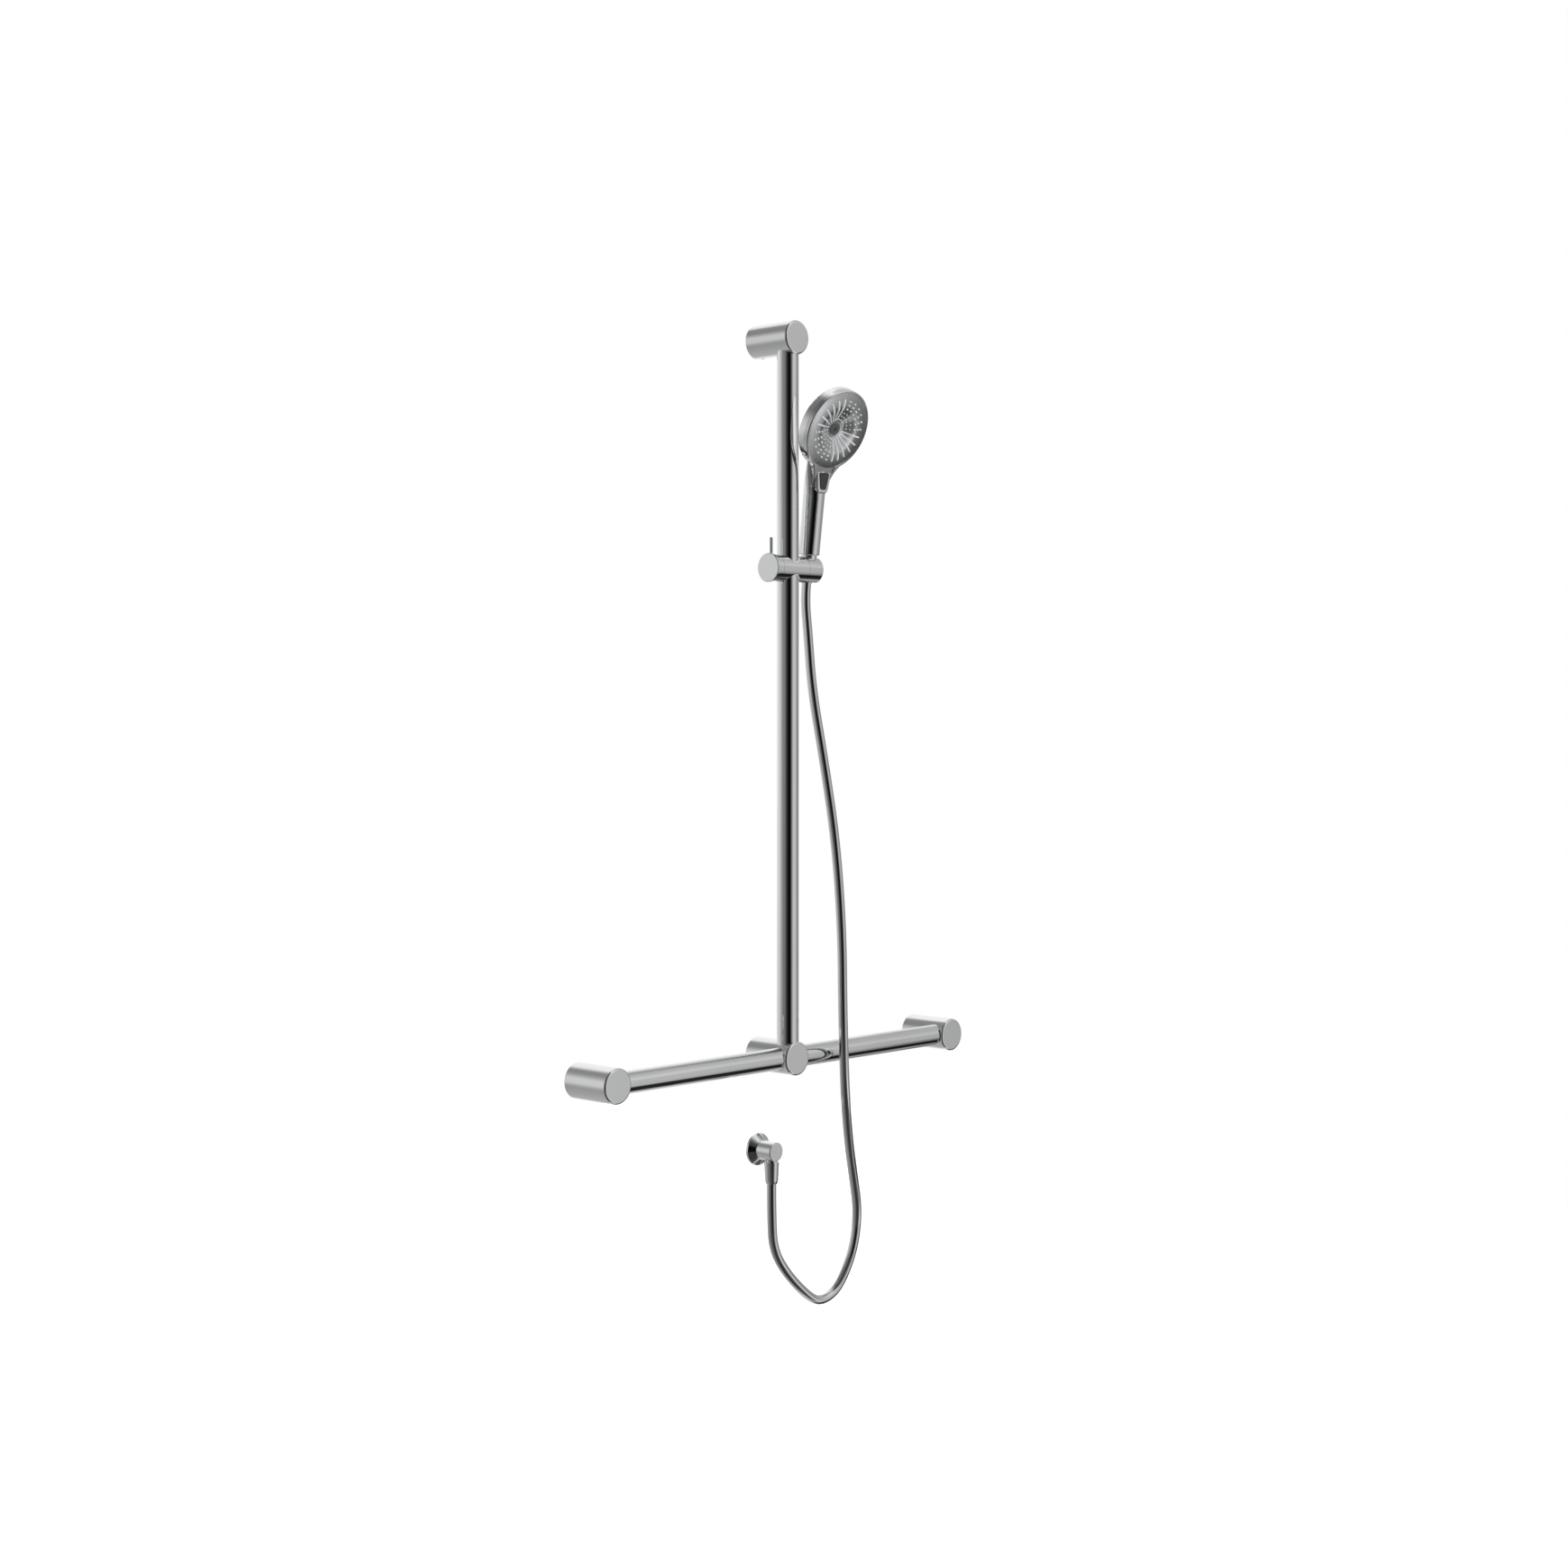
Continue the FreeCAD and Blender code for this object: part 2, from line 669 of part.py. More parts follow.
def neck_plate():
    """The flat teardrop below the head: arcs that leave the rim, then sides that run into the handle."""
    rim = head_rim_diameter / 2 - neck_inset
    arc_across = neck_half_width + neck_arc
    arc_along = -math.sqrt((rim + neck_arc) ** 2 - arc_across ** 2)
    on_rim = (rim * arc_across / (rim + neck_arc), rim * arc_along / (rim + neck_arc))
    middle_angle = (math.pi + math.atan2(-arc_along, -arc_across)) / 2
    middle = (arc_across + neck_arc * math.cos(middle_angle), arc_along + neck_arc * math.sin(middle_angle))
    edges = []
    for side in (1, -1):
        start = on_face(side * on_rim[0], on_rim[1])
        end = on_face(side * neck_half_width, arc_along)
        foot = on_face(side * neck_foot_half_width, -neck_reach)
        edges.append(Part.Arc(start, on_face(side * middle[0], middle[1]), end).toShape())
        edges.append(Part.LineSegment(end, foot).toShape())
    for level, across in ((on_rim[1], on_rim[0]), (-neck_reach, neck_foot_half_width)):
        edges.append(Part.LineSegment(on_face(-across, level), on_face(across, level)).toShape())
    wire = Part.Wire(Part.__sortEdges__(edges))
    plate = Part.Face(wire).extrude(face_back * neck_thickness)

    def on_front_side(edge):
        middle = edge.valueAt((edge.FirstParameter + edge.LastParameter) / 2)
        on_front = abs((edge.CenterOfMass - face_centre).dot(face_back)) < 1e-6
        return on_front and abs(middle.x) > neck_half_width / 2
    return plate.makeFillet(face_edge_radius, [edge for edge in plate.Edges if on_front_side(edge)])


def handle_and_neck():
    """A loft up the handle, round and slightly tapered, then into the flat oval behind the head."""
    bottom = handle_bottom_diameter / 2
    top = handle_top_diameter / 2
    sections = []
    for share in (0.0, 0.25, 0.5, 0.75, 1.0):
        at = handle_start + (handle_straight_end - handle_start) * share
        radius = bottom + (top - bottom) * share
        sections.append((at, radius, radius, -radius))
    wires = []
    for at, half_width, front, back in sections + list(neck_sections):
        half_depth = (front - back) / 2
        oval = Part.Ellipse(V(0, 0, 0), half_width, min(half_width, half_depth))
        wire = Part.Wire(oval.toShape())
        wire.translate(V(0, -(front + back) / 2, at))
        wires.append(wire)
    return rounded_end(Part.makeLoft(wires, True), handle_edge_radius, UP * handle_start, DOWN)


def plate_depth(radius):
    """How far the plate's front lies behind the rim: a swelling ring, then a dish that eases to its floor."""
    crest = dish_diameter / 2
    floor = dish_floor_diameter / 2
    highest = plate_recess - plate_swell
    if radius > crest:
        return highest + plate_swell * ((radius - crest) / (plate_radius - crest)) ** 2
    share = max(radius - floor, 0) / (crest - floor)
    return highest + dish_depth * (1 + math.cos(math.pi * share)) / 2


def plate_back(room):
    """The section of the plate's back from its edge to its axis, moved out by some room."""
    back = plate_recess + plate_thickness + room
    floor_back = plate_depth(0) + plate_thickness + room
    return [(plate_radius + room, back), (dish_diameter / 2, back), (dish_floor_diameter / 2, floor_back),
            (0, floor_back)]


def plate_tongue(room, front):
    """The flat tongue of the plate below the head, moved out by some room, from a depth behind the rim."""
    top = tongue_top_half_width + room
    end = tongue_end_half_width + room
    high = -dish_diameter / 2
    low = -tongue_reach - room
    corners = [on_face(-top, high, front), on_face(top, high, front)]
    corners += [on_face(end, low, front), on_face(-end, low, front)]
    back = plate_recess + plate_thickness + room
    return Part.Face(Part.makePolygon(corners + corners[:1])).extrude(face_back * (back - front))


def plate_pocket():
    """What is cut out of the shell for the plate, and all that is in front of it."""
    front = -head_thickness
    outline = [(0, front), (plate_radius + plate_clearance, front)] + plate_back(plate_clearance)
    return fused(turned(outline, face_centre, face_back), plate_tongue(plate_clearance, front))


def spray_plate():
    """The plate in its place on the head: its front is a smooth curve turned round the face's axis."""
    floor = dish_floor_diameter / 2
    step = (plate_radius - floor) / (dish_points - 1)
    radii = [floor + step * number for number in range(dish_points)]
    front = section([(radius, plate_depth(radius)) for radius in radii])
    curve = Part.BSplineCurve()
    curve.interpolate(front)
    rest = front[-1:] + section(plate_back(0.0) + [(0, plate_depth(0))]) + front[:1]
    outline = Part.Wire([curve.toShape()] + Part.makePolygon(rest).Edges)
    disc = spun(outline, face_centre, face_back)
    return fused(disc, plate_tongue(0.0, plate_recess + tongue_drop))


def button_corners(room, forward):
    """The button's rounded trapezoid, at a distance in front of the handle's axis, with room all round."""
    top = button_top_half_width + room
    end = button_end_half_width + room
    high = button_top_along + room
    low = button_end_along - room
    return [V(-top, -forward, high), V(top, -forward, high), V(end, -forward, low), V(-end, -forward, low)]


button_back = button_front - button_thickness
button_floor = button_back - button_room


def spray_button():
    """The button that changes the spray, standing a little out of the neck."""
    return leaned(prism(button_corners(0.0, button_front), button_corner, BACK * button_thickness))


def button_spring():
    """A thin snap dome between the button and the floor of its pocket."""
    half = spring_diameter / 2
    crown = button_room - spring_slack
    outline = [(half, 0), (half, spring_sheet), (half / 2, crown), (0, crown), (0, crown - spring_sheet),
               (half / 2 - spring_sheet, crown - spring_sheet), (half - spring_sheet, 0)]
    middle = (button_top_along + button_end_along) / 2
    return leaned(turned(outline, V(0, -button_floor, middle), FRONT))


def button_bezel():
    """A raised rim round the button, with rounded front edges, standing out of the handle and the neck."""
    rim = prism(button_corners(bezel_width, bezel_front), button_corner + bezel_width, BACK * bezel_front)
    return rounded_end(rim, bezel_edge_radius, FRONT * bezel_front, FRONT)


def handset_shell():
    """The one-piece shell of the hand shower: handle, neck and head, with pockets for what sits in it."""
    shell = fused(handle_and_neck(), neck_plate(), head_disc(), button_bezel())
    shell = shell.cut(plate_pocket())
    depth = head_forward - button_floor
    pocket = prism(button_corners(button_gap, head_forward), button_corner, BACK * depth)
    bore = rod(UP * handle_start, UP, inlet_bore_diameter, inlet_plug_length + press_clearance)
    return leaned(shell.cut(pocket).cut(bore))


def face_plate():
    """The grey spray plate in the head."""
    return leaned(spray_plate())


def centre_disc():
    """The dark disc in the middle of the dish."""
    return leaned(rod(on_face(0, 0, plate_depth(0)), -face_back, centre_diameter, centre_thickness))


def nozzle_bar(outward, inner, outer, width, height):
    """One radial bar that follows the plate outwards, along a direction given by its shares across and up."""
    sideways = RIGHT * outward[1] - face_up * outward[0]
    radii = [inner + (outer - inner) * step / 4 for step in range(5)]
    top = [(radius, plate_depth(radius) - height) for radius in radii]
    foot = [(radius, plate_depth(radius) + nozzle_sink) for radius in reversed(radii)]
    corners = [on_face(radius * outward[0], radius * outward[1], depth) for radius, depth in top + foot]
    side = Part.Face(Part.makePolygon(corners + corners[:1]))
    side.translate(sideways * (-width / 2))
    return side.extrude(sideways * width)


def nozzle_dot(outward, radius, diameter, height):
    """One round tip on the plate, square to the rim."""
    start = on_face(radius * outward[0], radius * outward[1], plate_depth(radius) + nozzle_sink)
    return rod(start, -face_back, diameter, height + nozzle_sink)


def nozzle_tips():
    """Rubber nozzle tips on the ring and the dish: sectors of rows of dots, between sectors of bars."""
    tips = []
    for row in range(nozzle_rows):
        angle = 2 * math.pi * (row + 0.5) / nozzle_rows
        outward = (math.sin(angle), math.cos(angle))
        if row // nozzle_sector % 2:
            tips.append(nozzle_bar(outward, bar_inner_radius, bar_outer_radius, bar_width, nozzle_height))
            tips.append(nozzle_bar(outward, dish_bar_inner_radius, dish_bar_outer_radius, dish_bar_width,
                                   dish_nozzle_height))
            continue
        for radius in nozzle_radii:
            tips.append(nozzle_dot(outward, radius, nozzle_diameter, nozzle_height))
        for radius in dish_nozzle_radii:
            tips.append(nozzle_dot(outward, radius, dish_nozzle_diameter, dish_nozzle_height))
    plate = spray_plate()
    return leaned(Part.makeCompound([tip.cut(plate) for tip in tips]))


# Hose: points of its route from the conical nut, past the grab rail, round the loop and up to the elbow

def hose_end(point):
    """A point on the hand shower's axis, leaned with the holder."""
    lean = math.radians(handset_lean)
    return slider_centre + RIGHT * holder_centre + V(0, -math.sin(lean), math.cos(lean)) * point


hose_route = [
    hose_end(-cone_nut_end),
    hose_end(-cone_nut_end - hose_lead),
    V(42.5, -58.5, 614), V(47, -66, 532), V(60, -77, 427), V(74, -88, 311), V(81.5, -93.5, 181),
    V(81.5, -95, 60), V(92, -90, -60), V(120, -72, -135), V(150, -55, -195), V(171, -45, -250),
    V(168, -41, -303), V(151, -39, -342), V(128, -37, -366), V(98, -35, -375.5), V(67, -33.5, -366),
    V(28, -31, -324), V(6, -29.5, -281), V(0, -29, -234),
    outlet_top + DOWN * (elbow_radius + wall_nut_gap + wall_nut_length)]
arc_share = 0.45                 # of the shorter run that an arc takes up


def hose_path(route):
    """Straight runs joined by tangent arcs, each as large as its two runs allow."""
    edges = []
    radii = []
    last = route[0]
    for before, corner, after in zip(route, route[1:], route[2:]):
        back = (before - corner).normalize()
        ahead = (after - corner).normalize()
        tangent = arc_share * min(before.distanceToPoint(corner), corner.distanceToPoint(after))
        half_turn = (math.pi - back.getAngle(ahead)) / 2
        radius = tangent / math.tan(half_turn)
        start = corner + back * tangent
        end = corner + ahead * tangent
        inward = (back + ahead).normalize()
        middle = corner + inward * (math.hypot(tangent, radius) - radius)
        edges.append(Part.LineSegment(last, start).toShape())
        edges.append(Part.Arc(start, middle, end).toShape())
        radii.append(radius)
        last = end
    edges.append(Part.LineSegment(last, route[-1]).toShape())
    return Part.Wire(edges), radii


def shower_hose():
    """The smooth hose as a round rod along its path."""
    path, radii = hose_path(hose_route)
    section = Part.Wire(Part.makeCircle(hose_diameter / 2, hose_route[0], hose_route[1] - hose_route[0]))
    hose = path.makePipeShell([section], True, True)
    plain_volume = math.pi * hose_diameter ** 2 / 4 * path.Length
    print("hose length %.1f" % path.Length)
    print("hose volume over section times length %.4f" % (hose.Volume / plain_volume))
    print("hose bend radii", [round(radius, 1) for radius in radii])
    return hose


top_foot = UP * upright_height
left_foot = LEFT * grab_half_span
right_foot = RIGHT * grab_half_span
lock_start = rail_axis_at(V(0, 0, 0)) + DOWN * (rail_radius + lock_screw_gap + lock_screw_length)
middle_screw_start = rail_screw_start(V(0, 0, 0), middle_screw_height)
hose_washer_face = outlet_top + DOWN * nipple_end

nodes = {
    "horizontal_rail": horizontal_rail(),
    "left_post": end_post(left_foot, RIGHT),
    "right_post": end_post(right_foot, LEFT),
    "vertical_rail": vertical_rail(),
    "top_post": end_post(top_foot, DOWN),
    "middle_post": middle_post(),
    "rail_bush": rail_bush(),
    "slide_lock_screw": grub_screw(lock_start, UP, lock_screw_length),
    "middle_rail_screw": grub_screw(middle_screw_start, FRONT, rail_screw_length),
    "outlet_rosette": outlet_rosette(),
    "outlet_seal": outlet_seal(),
    "outlet_elbow": outlet_elbow(),
    "wall_nut": wall_nut(),
    "wall_stem": wall_stem(),
    "wall_washer": hose_washer(hose_washer_face, DOWN, nipple_diameter),
    "shower_hose": shower_hose(),
    "slider_body": slider_body(),
    "rail_liner": rail_liner(),
    "brake_shoe": brake_shoe(),
    "friction_washer": friction_washer(),
    "clamp_knob": clamp_knob(),
    "knob_lever": knob_lever(),
    "clamp_stud": clamp_stud(),
    "handset_holder": handset_holder(),
    "holder_screw": holder_screw(),
    "handset_inlet": handset_inlet(),
    "handset_washer": handset_washer(),
    "handset_stem": handset_stem(),
    "handset_nut": handset_nut(),
    "handset_shell": handset_shell(),
    "face_plate": face_plate(),
    "centre_disc": centre_disc(),
    "nozzle_tips": nozzle_tips(),
    "spray_button": spray_button(),
    "button_spring": button_spring(),
}
for name, foot in (("left", left_foot), ("right", right_foot), ("top", top_foot), ("middle", V(0, 0, 0))):
    nodes[name + "_anchor"] = wall_anchor(foot)
    nodes[name + "_anchor_screw"] = anchor_screw(foot)
for name, foot in (("left", left_foot), ("right", right_foot), ("top", top_foot)):
    nodes[name + "_rail_screw"] = grub_screw(rail_screw_start(foot, 0), FRONT, rail_screw_length)

os.makedirs("parts", exist_ok=True)
for name, shape in nodes.items():
    shape.exportStep("parts/" + name + ".step")
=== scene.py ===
"""Shower slide rail: finishes, hose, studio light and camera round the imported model.
Metres, +Z up, wall at y = 0."""
import json
import math

import bpy
import numpy as np
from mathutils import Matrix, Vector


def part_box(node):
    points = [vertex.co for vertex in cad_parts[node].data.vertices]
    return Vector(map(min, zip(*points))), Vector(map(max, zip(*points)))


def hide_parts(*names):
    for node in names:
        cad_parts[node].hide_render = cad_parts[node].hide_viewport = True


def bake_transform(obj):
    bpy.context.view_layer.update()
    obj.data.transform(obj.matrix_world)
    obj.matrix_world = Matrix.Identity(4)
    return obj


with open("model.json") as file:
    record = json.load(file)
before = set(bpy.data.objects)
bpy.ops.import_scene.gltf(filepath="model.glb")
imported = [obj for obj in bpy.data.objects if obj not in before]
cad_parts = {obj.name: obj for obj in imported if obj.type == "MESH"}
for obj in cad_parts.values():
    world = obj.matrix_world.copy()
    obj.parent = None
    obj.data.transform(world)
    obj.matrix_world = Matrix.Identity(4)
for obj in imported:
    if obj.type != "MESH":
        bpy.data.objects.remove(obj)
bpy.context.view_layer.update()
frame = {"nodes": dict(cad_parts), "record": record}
scene = bpy.context.scene

# The camera stands level, in front and to the left.
VIEW_TURN = math.radians(46.605)          # from straight at the wall, towards the right
CAMERA_PLACE = (-2.4971, -2.4149, 0.5010)
LENS_MM = 54.46
SENSOR_MM = 36.0
FRAME_DROP = -0.0465                      # the frame hangs this share below the level line of sight
VIEW_FORWARD = (math.sin(VIEW_TURN), math.cos(VIEW_TURN), 0.0)
VIEW_RIGHT = (math.cos(VIEW_TURN), -math.sin(VIEW_TURN), 0.0)

# Studio light: how bright it is all round, by the bearing in degrees from straight behind the camera.
STUDIO_WALLS = (
    (-180, 0.95), (-134, 0.80), (-112, 0.72), (-90, 0.62), (-76, 0.48), (-62, 0.30), (-45, 0.21),
    (-30, 0.19), (-20, 0.10), (-10, 0.04), (0, 0.014), (9, 0.003), (27, 0.003), (36, 0.05), (46, 0.24),
    (56, 0.46), (67, 0.58), (78, 0.57), (90, 0.48), (104, 0.34), (122, 0.26), (150, 0.36), (180, 0.95))

# Soft patches of the studio: the share of its light that a dimmed one loses, or the light that a lifted one
# gains, and its edges. An edge is a part of the direction looked in and the two values between which the
# patch eases in. The parts are ahead, right and height, from -1 to 1, and steepness, which is height up or
# down.
STUDIO_PATCHES = (
    # Grey high on the left
    ("dimmed", 0.66, (("height", 0.20, 0.66), ("right", -0.15, -0.40), ("ahead", 0.68, 0.40))),
    # Grey low on the left
    ("dimmed", 0.50, (("height", 0.02, -0.40), ("right", 0.00, -0.30))),
    # Dark low on the right, beyond the object
    ("dimmed", 0.82, (("height", -0.15, -0.33), ("height", -0.66, -0.58), ("ahead", 0.07, 0.32),
                      ("right", 0.05, 0.30))),
    # Nearly black lower down, nearer the object
    ("dimmed", 0.94, (("height", -0.46, -0.58), ("ahead", 0.00, 0.18), ("ahead", 0.60, 0.46),
                      ("right", 0.05, 0.30))),
    # Dark low in front, from the middle to the right
    ("dimmed", 0.90, (("height", -0.30, -0.48), ("ahead", 0.00, -0.25), ("right", -0.35, 0.05))),
    # Lighter high on the right
    ("lifted", 0.16, (("height", 0.10, 0.35), ("right", 0.30, 0.60))),
    # A little light above and below the camera
    ("lifted", 0.04, (("steepness", 0.20, 0.34), ("ahead", -0.10, -0.40))),
    # The low soft box on the right
    ("lifted", 0.60, (("height", -0.31, -0.38), ("height", -0.54, -0.46), ("ahead", 0.05, -0.08),
                      ("right", 0.70, 0.80))),
)

# What matt surfaces get instead: an even light, and a wide soft key from high on the left.
EVEN_LIGHT = 0.45
KEY_LIGHT = 1.4
KEY_DIRECTION = (-0.50, -0.60, 0.62)
KEY_EDGE = 0.4                            # along the key's direction, where it begins
KEY_FULL = 0.95

NOISE_LOW = 0.3                           # the part of a noise's range over which a finish drifts
NOISE_HIGH = 0.7
CLOUD_SHADE = 0.97                        # of the plating's tint, where it is a little duller
GLOSS_SPREAD = 0.06                       # in roughness, either way, over moulded plastic
DISC_RADIUS = 0.009                       # of the grey disc in the spray plate
FLOOR_HEIGHT = -1.15
FLOOR_HALF = 5.0
FLOOR_LIFT = 0.5                          # that the camera sees on top of the floor's own white

# Hose: the route from the hand shower's nut to the wall outlet's nut.
HOSE_DIAMETER = 0.014
HOSE_SIDES = 28
HOSE_STEPS = 28                           # points on the line for each stretch of the route
HOSE_FOIL_TURNS = 10.0                    # of the wound foil, in a length of one girth
HOSE_TOP_LENGTH = 0.20                    # the length of the stretch under the nut, which is a piece of its own
LOOP_LEAN = math.radians(60)              # below level, of the direction in which the loop's furthest point ends the long leg and starts the short leg
HOSE_ROUTE = (
    (0.042, -0.05928, 0.68813), (0.042, -0.05637, 0.66330), (0.0442, -0.0602, 0.614),
    (0.0468, -0.0658, 0.532), (0.0604, -0.0774, 0.427), (0.074, -0.088, 0.311), (0.0815, -0.0935, 0.181),
    (0.0815, -0.095, 0.060), (0.092, -0.090, -0.060), (0.120, -0.072, -0.135), (0.150, -0.055, -0.195),
    (0.171, -0.045, -0.250), (0.167, -0.041, -0.303), (0.148, -0.039, -0.342), (0.128, -0.037, -0.366),
    (0.098, -0.035, -0.3755), (0.072, -0.0335, -0.3625), (0.029, -0.031, -0.322), (0.003, -0.0295, -0.283),
    (0.0, -0.029, -0.234), (0.0, -0.029, -0.187))


# Node helpers

def tree_of(owner):
    """An empty node tree for a material or a world, with its links."""
    owner.use_nodes = True
    owner.node_tree.nodes.clear()
    return owner.node_tree.nodes, owner.node_tree.links


def calc(nodes, links, operation, first, second=None):
    """One Math node on two values, each a socket or a number."""
    node = nodes.new("ShaderNodeMath")
    node.operation = operation
    for socket, value in zip(node.inputs, (first, second)):
        if isinstance(value, bpy.types.NodeSocket):
            links.new(value, socket)
        elif value is not None:
            socket.default_value = value
    return node.outputs[0]


def eased(nodes, links, value, low, high):
    """A value eased from 0 at low to 1 at high, with no step at either end."""
    node = nodes.new("ShaderNodeMapRange")
    node.interpolation_type = "SMOOTHSTEP"
    links.new(value, node.inputs["Value"])
    node.inputs["From Min"].default_value = low
    node.inputs["From Max"].default_value = high
    return node.outputs["Result"]


def chosen(nodes, links, switch, off, on):
    """One of two values by a switch of 0 or 1: off + switch * (on - off)."""
    step = calc(nodes, links, "MULTIPLY", switch, calc(nodes, links, "SUBTRACT", on, off))
    return calc(nodes, links, "ADD", off, step)


def along(nodes, links, direction, vector):
    """How far a direction runs along a fixed vector: their dot product."""
    node = nodes.new("ShaderNodeVectorMath")
    node.operation = "DOT_PRODUCT"
    links.new(direction, node.inputs[0])
    node.inputs[1].default_value = vector
    return node.outputs["Value"]


def ramp(nodes, links, value, stops, ease="EASE"):
    """A grey or coloured ramp: stops are (place, grey) or (place, (r, g, b))."""
    node = nodes.new("ShaderNodeValToRGB")
    node.color_ramp.interpolation = ease
    elements = node.color_ramp.elements
    while len(elements) < len(stops):
        elements.new(0.5)
    for element, (place, shade) in zip(elements, stops):
        element.position = place
        element.color = (*shade, 1.0) if isinstance(shade, tuple) else (shade, shade, shade, 1.0)
    links.new(value, node.inputs["Fac"])
    return node.outputs["Color"]


def drift(nodes, links, value, low, high):
    """A ramp from one shade to another over the middle of a noise's range."""
    return ramp(nodes, links, value, [(NOISE_LOW, low), (NOISE_HIGH, high)])


def noise(nodes, links, place, scale, detail=3.0, rough=0.55):
    """A Noise node's factor over a place."""
    node = nodes.new("ShaderNodeTexNoise")
    links.new(place, node.inputs["Vector"])
    node.inputs["Scale"].default_value = scale
    node.inputs["Detail"].default_value = detail
    node.inputs["Roughness"].default_value = rough
    return node.outputs["Fac"]


def stretched(nodes, links, place, factors):
    """A place with each axis scaled by a factor. Noise over it makes streaks along the axes scaled least."""
    node = nodes.new("ShaderNodeMapping")
    links.new(place, node.inputs["Vector"])
    node.inputs["Scale"].default_value = factors
    return node.outputs["Vector"]


def bumped(nodes, links, height, strength, distance):
    """A Bump node's normal from a height."""
    node = nodes.new("ShaderNodeBump")
    links.new(height, node.inputs["Height"])
    node.inputs["Strength"].default_value = strength
    node.inputs["Distance"].default_value = distance
    return node.outputs["Normal"]


def finish_of(name, metallic=0.0, coat=0.0, specular=0.5):
    """A new material with its shader, its object coordinates and its node tree."""
    material = bpy.data.materials.new(name)
    nodes, links = tree_of(material)
    shader = nodes.new("ShaderNodeBsdfPrincipled")
    shader.inputs["Metallic"].default_value = metallic
    shader.inputs["Coat Weight"].default_value = coat
    shader.inputs["Specular IOR Level"].default_value = specular
    output = nodes.new("ShaderNodeOutputMaterial")
    links.new(shader.outputs["BSDF"], output.inputs["Surface"])
    place = nodes.new("ShaderNodeTexCoord").outputs["Object"]
    return material, nodes, links, shader, place


# Finishes

def bright_chrome(name, smoothest, dullest, tint):
    """Polished plating: dried water marks make the gloss drift, and faint waves bend what it mirrors."""
    material, nodes, links, shader, place = finish_of(name, metallic=1.0)
    marks = noise(nodes, links, place, scale=55.0, detail=4.0)
    links.new(ramp(nodes, links, marks, [(0.35, smoothest), (0.75, dullest)]), shader.inputs["Roughness"])
    cloud = noise(nodes, links, place, scale=9.0, detail=2.0)
    deep = tuple(CLOUD_SHADE * part for part in tint)
    links.new(drift(nodes, links, cloud, deep, tint), shader.inputs["Base Color"])
    waves = noise(nodes, links, place, scale=30.0, detail=1.0)
    links.new(bumped(nodes, links, waves, strength=0.02, distance=0.0004), shader.inputs["Normal"])
    return material


def hose_skin():
    """Smooth silver hose: foil wound in a fine helix under a clear skin. u runs along it and v round it."""
    material, nodes, links, shader, _ = finish_of("hose_skin", metallic=1.0, coat=0.2)
    shader.inputs["Coat Roughness"].default_value = 0.06
    lengths = nodes.new("ShaderNodeUVMap")
    lengths.uv_map = "wound"
    parts = nodes.new("ShaderNodeSeparateXYZ")
    links.new(lengths.outputs["UV"], parts.inputs["Vector"])
    wound = calc(nodes, links, "MULTIPLY", parts.outputs["X"], HOSE_FOIL_TURNS)
    turns = calc(nodes, links, "ADD", wound, parts.outputs["Y"])
    lay = calc(nodes, links, "FRACT", turns)
    seam = calc(nodes, links, "ABSOLUTE", calc(nodes, links, "SUBTRACT", lay, 0.5))
    foil = [(0.0, (0.74, 0.745, 0.755)), (0.42, (0.76, 0.765, 0.775)), (0.5, (0.72, 0.725, 0.735))]
    links.new(ramp(nodes, links, seam, foil), shader.inputs["Base Color"])
    links.new(ramp(nodes, links, seam, [(0.0, 0.10), (0.5, 0.15)]), shader.inputs["Roughness"])
    links.new(bumped(nodes, links, seam, strength=0.012, distance=0.0001), shader.inputs["Normal"])
    return material


def brushed_steel():
    """Plain stainless steel with fine turned lines."""
    material, nodes, links, shader, place = finish_of("plain_steel", metallic=1.0)
    drawn = stretched(nodes, links, place, factors=(1.0, 40.0, 1.0))
    streaks = noise(nodes, links, drawn, scale=90.0, detail=3.0)
    tone = drift(nodes, links, streaks, (0.52, 0.52, 0.53), (0.64, 0.64, 0.65))
    links.new(tone, shader.inputs["Base Color"])
    links.new(drift(nodes, links, streaks, 0.28, 0.42), shader.inputs["Roughness"])
    return material


def turned_brass():
    """Plain turned brass, slightly uneven in tone."""
    material, nodes, links, shader, place = finish_of("turned_brass", metallic=1.0)
    cloud = noise(nodes, links, place, scale=60.0)
    tone = drift(nodes, links, cloud, (0.68, 0.50, 0.24), (0.78, 0.60, 0.32))
    links.new(tone, shader.inputs["Base Color"])
    links.new(drift(nodes, links, cloud, 0.22, 0.36), shader.inputs["Roughness"])
    return material


def moulded_plastic(name, shade, lighter, rough, grain, specular=0.5):
    """Moulded plastic or rubber: a little cloudiness in the colour, and a fine grain in gloss and surface."""
    material, nodes, links, shader, place = finish_of(name, specular=specular)
    cloud = noise(nodes, links, place, scale=40.0)
    links.new(drift(nodes, links, cloud, shade, lighter), shader.inputs["Base Color"])
    pores = noise(nodes, links, place, scale=grain, detail=2.0)
    gloss = drift(nodes, links, pores, rough - GLOSS_SPREAD, rough + GLOSS_SPREAD)
    links.new(gloss, shader.inputs["Roughness"])
    links.new(bumped(nodes, links, pores, strength=0.08, distance=0.0001), shader.inputs["Normal"])
    return material


